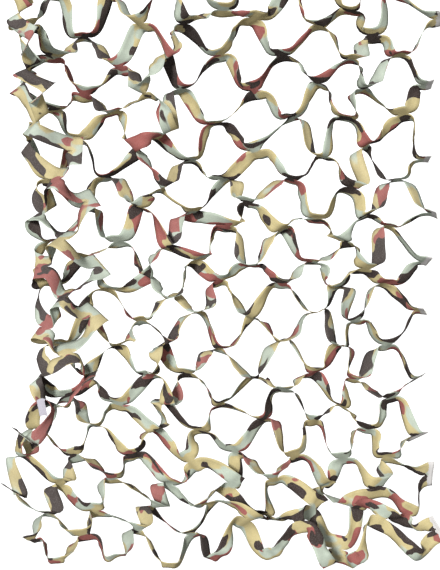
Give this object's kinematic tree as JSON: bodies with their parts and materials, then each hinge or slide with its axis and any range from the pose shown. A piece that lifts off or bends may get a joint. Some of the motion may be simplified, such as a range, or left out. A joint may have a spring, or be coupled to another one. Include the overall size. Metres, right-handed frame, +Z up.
{
  "type": "camouflage net",
  "caption": "Slit and opened camouflage cloth net, hanging from its top edge with its lower end sweeping forward.",
  "frame": {"origin": "middle of the top edge, where the net is held", "axes": "+X to the right along the top edge, +Y to the back, +Z up; the side that is looked at faces -Y"},
  "size_m": [0.8604, 0.2677, 1.1369],
  "materials": {
    "net_cloth": "matt woven cloth printed in sage green, khaki, red-brown and near-black blotches, paler on the back",
    "label_tape": "smooth white woven tape, blank"
  },
  "bodies": {
    "root": {"net": "net_cloth", "care_label": "label_tape"}
  },
  "joints": []
}
